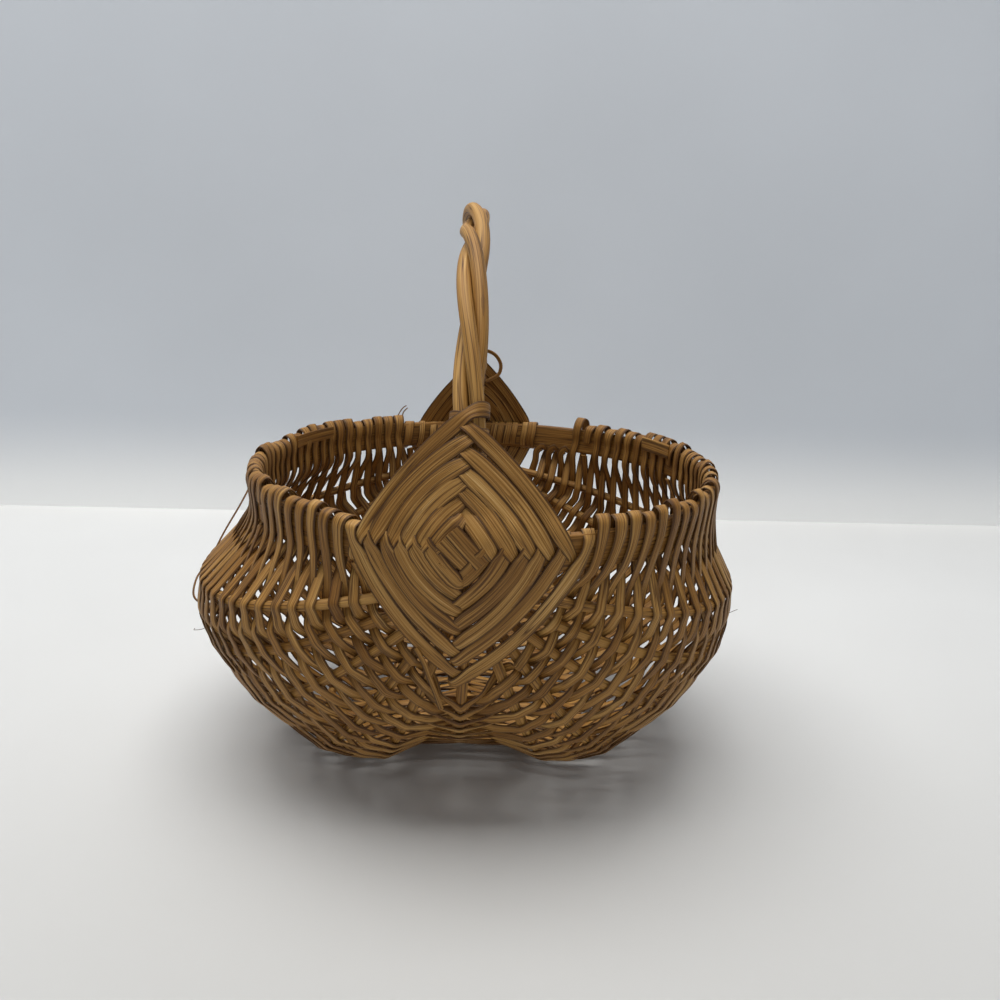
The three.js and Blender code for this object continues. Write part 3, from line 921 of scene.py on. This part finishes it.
weave = {
    "reeds": 8,
    "rowsPerReed": 9,
    "width": 3.9,
    "thickness": 0.85,
    "girth": 8.9,
    "clear": 0.12,
    "cover": 1.1,  # between two ribs each reed tilts until it covers this share of the pitch
    "tilts": (10.0, 58.0),
    "tiltChance": 4.0,
    "tiltAtRib": 0.3,  # the share of the tilt that is left where the reed bends over a rib
    "bend": 3.2,  # half the length of the bend over a rib
    "bulge": 2.1,  # how much of the belly's roundness the reeds keep between two ribs
    "waist": 0.01,  # how far they hang in below the rim, as a share of the span
    "slides": (0.4, 0.8),  # how far a wrap's foot is drawn along the rim, at its end and midway
    "slip": 0.18,
    "loose": 0.2,  # how far a reed may stand off a rib
    "rimClear": 0.2,
    "loops": (2.0, 6.0),  # how far the loops rise over the rim
    "slack": 1.7,  # and how far they stand off its face
    "wrapShare": 1.4,  # the reed lies flatter and looks wider there
    "bare": {(1, 1): 56.0},  # where the rim's inside is bare, the loops pass under its edge
    "tips": {(-1, -1): 35.0, (1, -1): 41.0, (-1, 1): 34.0, (1, 1): 37.0},  # wraps begin past these
    "tipCorner": (5.0, 9.0),  # a lashing's side tip: its half width and how far it hangs below
    "edgeWide": {-1: 38.0, 1: 36.0},  # the lashings' lower edges run from here
    "edgeDown": {-1: 51.0, 1: 48.0},  # to here
    "margin": 2.4,
    # edge sets the darkening along the reeds' edges: partly grime, partly painted shade between
    # reeds
    "look": {"fibre": 1.15, "tone": 0.52, "stain": 0.35, "bump": 0.8, "edge": 0.75},
}
rowCount = weave["reeds"] * weave["rowsPerReed"]
elements = 2 * ribsASide + 2  # crossed lines, less one: rim, ribs, bottom rib, ribs, rim
onFace = rim["thickness"] / 2 + weave["rimClear"] + weave["thickness"] / 2
onRib = ribs["radius"] + weave["clear"] + weave["thickness"] / 2


# The side and the end of the basket that a place is on, -1 or 1.
def sideAndEnd(place):
    return -1 if place[0] < 0 else 1, -1 if place[1] < 0 else 1


# How far a point lies outside the lashing's lower edges, or on the rim past its side tip.
def beyondLashing(place, onRim):
    if onRim:
        return abs(place[0]) - weave["tips"][sideAndEnd(place)] + weave["margin"]
    _, end = sideAndEnd(place)
    tipWidth, tipHeight = weave["tipCorner"]
    run = weave["edgeWide"][end] - tipWidth
    fall = weave["edgeDown"][end] - tipHeight
    sideways = abs(place[0]) - weave["edgeWide"][end]
    level = rim["level"] - place[2] - tipHeight
    return (sideways * fall + level * run) / hypot(run, fall)


def rimEdgeLine(side):
    angles = -pi / 2 + side * np.linspace(0, pi, 240)
    return rimLine(angles, -rim["height"] / 2 - 0.6)[0]


# A crossed line with the stretch of it that lies outside both lashings.
def wovenStretch(places, onRim=False):
    distances = distancesAlong(places)
    outside = [beyondLashing(place, onRim) >= weave["margin"] for place in places]
    middle = len(places) // 2
    first = next(i for i in range(middle) if all(outside[i:middle]))
    last = next(i for i in range(len(places) - 1, middle, -1) if all(outside[middle : i + 1]))
    return places, distances, distances[first], distances[last]


crossed = [wovenStretch(rimEdgeLine(-1), True)]
crossed += [wovenStretch(sideRibPath(-1, i)) for i in range(ribsASide)]
crossed += [wovenStretch(bottomRibPath())]
crossed += [wovenStretch(sideRibPath(1, i)) for i in reversed(range(ribsASide))]
crossed += [wovenStretch(rimEdgeLine(1), True)]


def crossingAt(element, share):
    places, distances, start, end = crossed[element]
    distance = start + (end - start) * share
    spots = np.array((distance, distance + 3, distance - 3))
    here, ahead, behind = placesAt(places, distances, spots)
    return here, unit(ahead - behind)


def pitchOn(element):
    _, _, start, end = crossed[element]
    return (end - start) / rowCount


# Where a row meets the rim and the ribs, the ribs' ways there, and the ways outward.
def rowFrame(row):
    share = (row + 0.5) / rowCount
    slips = [weave["slip"] * chance.uniform(-1, 1) / rowCount for _ in range(elements + 1)]
    spots = [crossingAt(i, min(max(share + slip, 0), 1)) for i, slip in enumerate(slips)]
    met, along = map(list, zip(*spots))
    atLashing, midway = weave["slides"]
    slides = atLashing + (midway - atLashing) * sin(pi * share)
    for edge, neighbour in ((0, 1), (elements, elements - 1)):
        slide = (met[neighbour] - met[edge]).dot(along[edge])
        met[edge] = met[edge] + along[edge] * slide * slides
    outward = [rimOutward(met[0])]
    for element in range(1, elements):
        face = unit(np.cross(along[element], met[element + 1] - met[element - 1]))
        facesIn = face.dot(met[element] - fromRim(0, 0, 0)) < 0
        outward.append(-face if facesIn else face)
    return met, along, outward + [rimOutward(met[-1])]


# The point midway between two crossings. The reeds run nearly straight from rib to rib.
def between(met, outward, element):
    first, second = met[element], met[element + 1]
    middle = (first + second) / 2
    if element in (0, elements - 1):
        edge = elements if element else 0
        return middle - outward[edge] * weave["waist"] * norm(second - first)
    curved = (9 * (first + second) - met[element - 1] - met[element + 2]) / 16
    return middle + (curved - middle) * weave["bulge"]


# How high over a rib's middle a straight run to the middle of a gap starts, to clear the rib.
def ridgeHeight(half):
    return onRib / sqrt(1 - min(onRib / half, 0.9) ** 2)


# The tilt that lets reeds wider than the pitch lie side by side between two ribs.
def tiltBetween(met, along, element):
    way = unit(met[element + 1] - met[element])
    squareness = norm(np.cross(way, unit(along[element] + along[element + 1])))
    pitch = (pitchOn(element) + pitchOn(element + 1)) / 2 * squareness
    tilt = degrees(acos(min(weave["cover"] * pitch / weave["width"], 1)))
    return np.clip(tilt, *weave["tilts"])


# A face turned about the reed's way.
def turned(face, along, tilt):
    angle = radians(tilt)
    return face * cos(angle) + np.cross(along, face) * sin(angle)


# The reed bends over a rib between two straight runs.
def overRib(element, met, middles, tilts, way, face, loose):
    bends = []
    for gap in (element - 1, element):
        toMiddle = middles[gap] - met[element]
        half = norm(toMiddle)
        reach = min(weave["bend"], 0.4 * half)
        place = met[element] + toMiddle * reach / half
        place = place + way * (ridgeHeight(half) * (1 - reach / half) + loose)
        bends.append((place, face, tilts[gap] * weave["tiltAtRib"]))
    crest = met[element] + way * (onRib + loose)
    return [bends[0], (crest, face, 0), bends[1]]


def rowStations(row):
    met, along, outward = rowFrame(row)
    middles = [between(met, outward, element) for element in range(elements)]
    tilts = [
        tiltBetween(met, along, element) + weave["tiltChance"] * chance.uniform(-1, 1)
        for element in range(elements)
    ]
    turn = 1 if row % 2 == 0 else -1
    stations = []
    for element in range(elements + 1):
        way = outward[element] * (turn if element % 2 == 0 else -turn)
        face = outward[element] * turn
        loose = chance.uniform(0, weave["loose"])
        if element in (0, elements):
            stations.append((met[element] + way * (onFace + loose), face, 0))
        else:
            stations += overRib(element, met, middles, tilts, way, face, loose)
        if element < elements:
            face = unit(outward[element] + outward[element + 1]) * turn
            stations.append((middles[element], face, tilts[element]))
    if turn < 0:
        stations.reverse()
    ways = tangentsOf(np.array([station[0] for station in stations]))
    return [
        (place, turned(unit(face - face.dot(way) * way), way, tilt))
        for (place, face, tilt), way in zip(stations, ways)
    ]


# Over the rim between two rows: a loose, peaked loop that stands a little off the splint.
# Its shape has places out from the rim's middle and up, and the face's share outward and up.
def rimLoop(row):
    element = elements if row % 2 == 0 else 0
    edge = rim["height"] / 2
    rise = chance.uniform(*weave["loops"])
    loose = chance.uniform(0.0, 1.0) * weave["slack"]
    place, _ = crossingAt(element, (row + 1) / rowCount)
    if abs(place[0]) < weave["bare"].get(sideAndEnd(place), 0):
        shape = [
            (onFace, 1.0 - edge, 1, -0.1),
            (onFace * 0.5, -edge - 0.5, 0.6, -1),
            (-onFace * 0.5, -edge - 0.5, -0.6, -1),
            (-onFace, 1.0 - edge, -1, -0.1),
        ]
    else:
        shape = [
            (onFace + loose * 0.3, 0.3 * edge, 1, 0),
            (onFace + loose * 0.6, edge - 0.4, 1, 0.1),
            (onFace * 0.75 + loose * 0.3, edge + rise * 0.75, 1, 0.5),
            (0.0, edge + rise, 0.0, 1),
            (-onFace * 0.8 - loose * 0.3, edge + rise * 0.5, -1, 0.5),
            (-onFace - 0.1 - loose * 0.4, edge - 1.6, -1, 0.1),
            (-onFace, 0.0, -1, 0),
        ]
    if row % 2:
        shape.reverse()
    stations = []
    for i, (out, height, faceOut, faceUp) in enumerate(shape):
        share = (i + 0.5) / len(shape)
        place, _ = crossingAt(element, min((row + 0.5 + share) / rowCount, 1))
        outward = rimOutward(place)
        place = fromRim(place[0], place[1], height) + outward * out
        wider = 1 + (weave["wrapShare"] - 1) * sin(pi * share)
        stations.append((place, unit(outward * faceOut + point(0, 0, faceUp)), wider))
    return stations


def weaverStations(reed):
    stations = []
    first = reed * weave["rowsPerReed"]
    for row in range(first, first + weave["rowsPerReed"]):
        stations += rowStations(row)
        if row < rowCount - 1:
            stations += rimLoop(row)
    return stations


# Ends and splinters that have come loose, each with the reed it belongs to and its half width.
# Their points are from the middle of the rim.
looseEnds = (
    (5, 0.45, (
        (-95, 44, -1), (-98.5, 41, 4), (-100.5, 33, -4), (-104.5, 15, -17), (-110, 2, -28.5),
        (-113.5, -7, -37), (-117, -18, -43.5), (-115, -27, -48), (-108, -32, -50),
    )),
    (4, 0.12, ((-106, -20, -58), (-112, -27, -62), (-114, -33, -60), (-112, -38, -57))),
    (4, 0.12, ((108, -18, -54), (112, -24, -52), (115, -29, -48))),
    (8, 0.3, ((-42, 97, 6), (-40.5, 97, 10), (-38, 98, 13.5), (-36.5, 98, 14.5))),
    (7, 0.3, ((-39, 98, 6), (-38, 98, 11), (-36, 99, 13))),
)
# where a reed's wraps end, its last stretch lies along the rim's inner face
wrapEnd = {"from": 19.0, "to": 32.0, "width": 7.0, "inward": 3.6, "rise": 6.4, "seed": 9, "reed": 6}


def looseEnd(radius, spots):
    places = np.array([fromRim(*spot) for spot in spots])
    return roundReed(places, radius, 6, step=1.2, wobble=0.1)


weaverReed = reedMaterial("weaverReed", weave["look"], weave["girth"])
weaverSection = flatSection(12, 3.0)
for reed in range(1, weave["reeds"] + 1):
    parts = [
        flatReed(
            weaverStations(reed - 1), weave["width"], weave["thickness"], weaverSection,
            seed=69 + reed, wobble=0.07, girth=weave["girth"],
        )
    ]
    parts += [looseEnd(radius, spots) for owner, radius, spots in looseEnds if owner == reed]
    if wrapEnd["reed"] == reed:
        parts.append(rimStrip(wrapEnd))
    finishPiece(f"weaver{reed}", parts, weaverReed, "weaver_reed", f"weaver_{reed}")
print("woven reeds made")

# Each plane's colour goes from its near one to its far one between two places on its Y, as painted
# light: the table is palest by the wall, where the light from behind falls, and the wall by the
# table, where its bounce light falls.
stageLook = {
    "size": 4,
    "clouds": 0.04,
    "floor": {
        "place": (0, 0.2, -0.0005),
        "tilt": 0,
        "material": "paleTable",
        "near": (0.56, 0.56, 0.55),
        "far": (0.74, 0.745, 0.74),
        "change": (-0.5, 0.02),
        "roughness": 0.7,
    },
    "backdrop": {
        "place": (0, 0.34, 1.2),
        "tilt": 90,
        "material": "paleWall",
        "near": (0.97, 0.985, 0.99),
        "far": (0.645, 0.685, 0.74),
        "change": (-1.2, -1.11),
        "roughness": 0.9,
    },
}


def plainMaterial(look):
    material, tree, shader = newMaterial(look["material"], 0.2)
    shader.inputs["Roughness"].default_value = look["roughness"]
    place = addNode(tree, "ShaderNodeTexCoord").outputs["Object"]
    dark = tuple(c * (1 - stageLook["clouds"]) for c in look["far"])
    pale = tuple(min(c * (1 + stageLook["clouds"]), 1) for c in look["far"])
    far = rampNode(tree, noiseNode(tree, place, 3.0, 3.0), [(0.3, dark), (0.7, pale)])
    parts = addNode(tree, "ShaderNodeSeparateXYZ")
    tree.links.new(place, parts.inputs[0])
    # painted light: the colour brightens or darkens along the plane's Y
    share = easeNode(tree, parts.outputs["Y"], *look["change"])
    tree.links.new(mixColors(tree, share, look["near"], far), shader.inputs["Base Color"])
    return material


def stagePlane(name):
    look = stageLook[name]
    tilt = (radians(look["tilt"]), 0, 0)
    bpy.ops.object.select_all(action="DESELECT")
    bpy.ops.mesh.primitive_plane_add(size=stageLook["size"], location=look["place"], rotation=tilt)
    plane = bpy.context.object
    plane.name = name
    plane.data.materials.append(plainMaterial(look))
    return plane


floor = stagePlane("floor")
wall = stagePlane("backdrop")
scene = bpy.context.scene

lights = {
    "ceiling": {
        "where": (-0.15, 0.06, 1.3), "size": (1.4, 1.0), "power": 23.0, "color": (1.0, 0.985, 0.96),
    },
    "frontFill": {
        "where": (0.3, -1.3, 0.7), "size": (1.2, 0.8), "power": 2.0, "color": (1.0, 0.97, 0.93),
    },
    "world": {"color": (0.86, 0.89, 0.93), "strength": 0.19},
    "aim": (0, 0, 0.1),
}


def areaLight(name):
    look = lights[name]
    light = bpy.data.lights.new(name, "AREA")
    light.shape = "RECTANGLE"
    light.size, light.size_y = look["size"]
    light.energy = look["power"]
    light.color = look["color"]
    lamp = bpy.data.objects.new(name, light)
    scene.collection.objects.link(lamp)
    back = unit(np.array(look["where"]) - np.array(lights["aim"]))
    right = unit(np.cross((0.0, 1.0, 0.001), back))
    up = np.cross(back, right)
    rows = [[right[i], up[i], back[i], look["where"][i]] for i in range(3)]
    lamp.matrix_world = Matrix(rows + [[0, 0, 0, 1]])


areaLight("ceiling")
areaLight("frontFill")
world = bpy.data.worlds.new("room")
scene.world = world
world.use_nodes = True
sky = world.node_tree.nodes["Background"]
sky.inputs["Color"].default_value = (*lights["world"]["color"], 1)
sky.inputs["Strength"].default_value = lights["world"]["strength"]
scene.view_settings.view_transform = "Standard"

view = {
    "place": (2.89, -362.66, 93.12),  # from the middle of the rim
    "turn": (74.124, -1.621, -1.17),
    "lens": 30.6,
    "sensor": 36.0,
}
camera = bpy.data.objects.new("photoCamera", bpy.data.cameras.new("photoCamera"))
scene.collection.objects.link(camera)
camera.data.lens = view["lens"]
camera.data.sensor_width = view["sensor"]
camera.data.clip_start = 0.01
camera.location = fromRim(*view["place"]) * mm
camera.rotation_euler = tuple(radians(angle) for angle in view["turn"])
bpy.context.scene.camera = camera
print("stage, light and camera made")
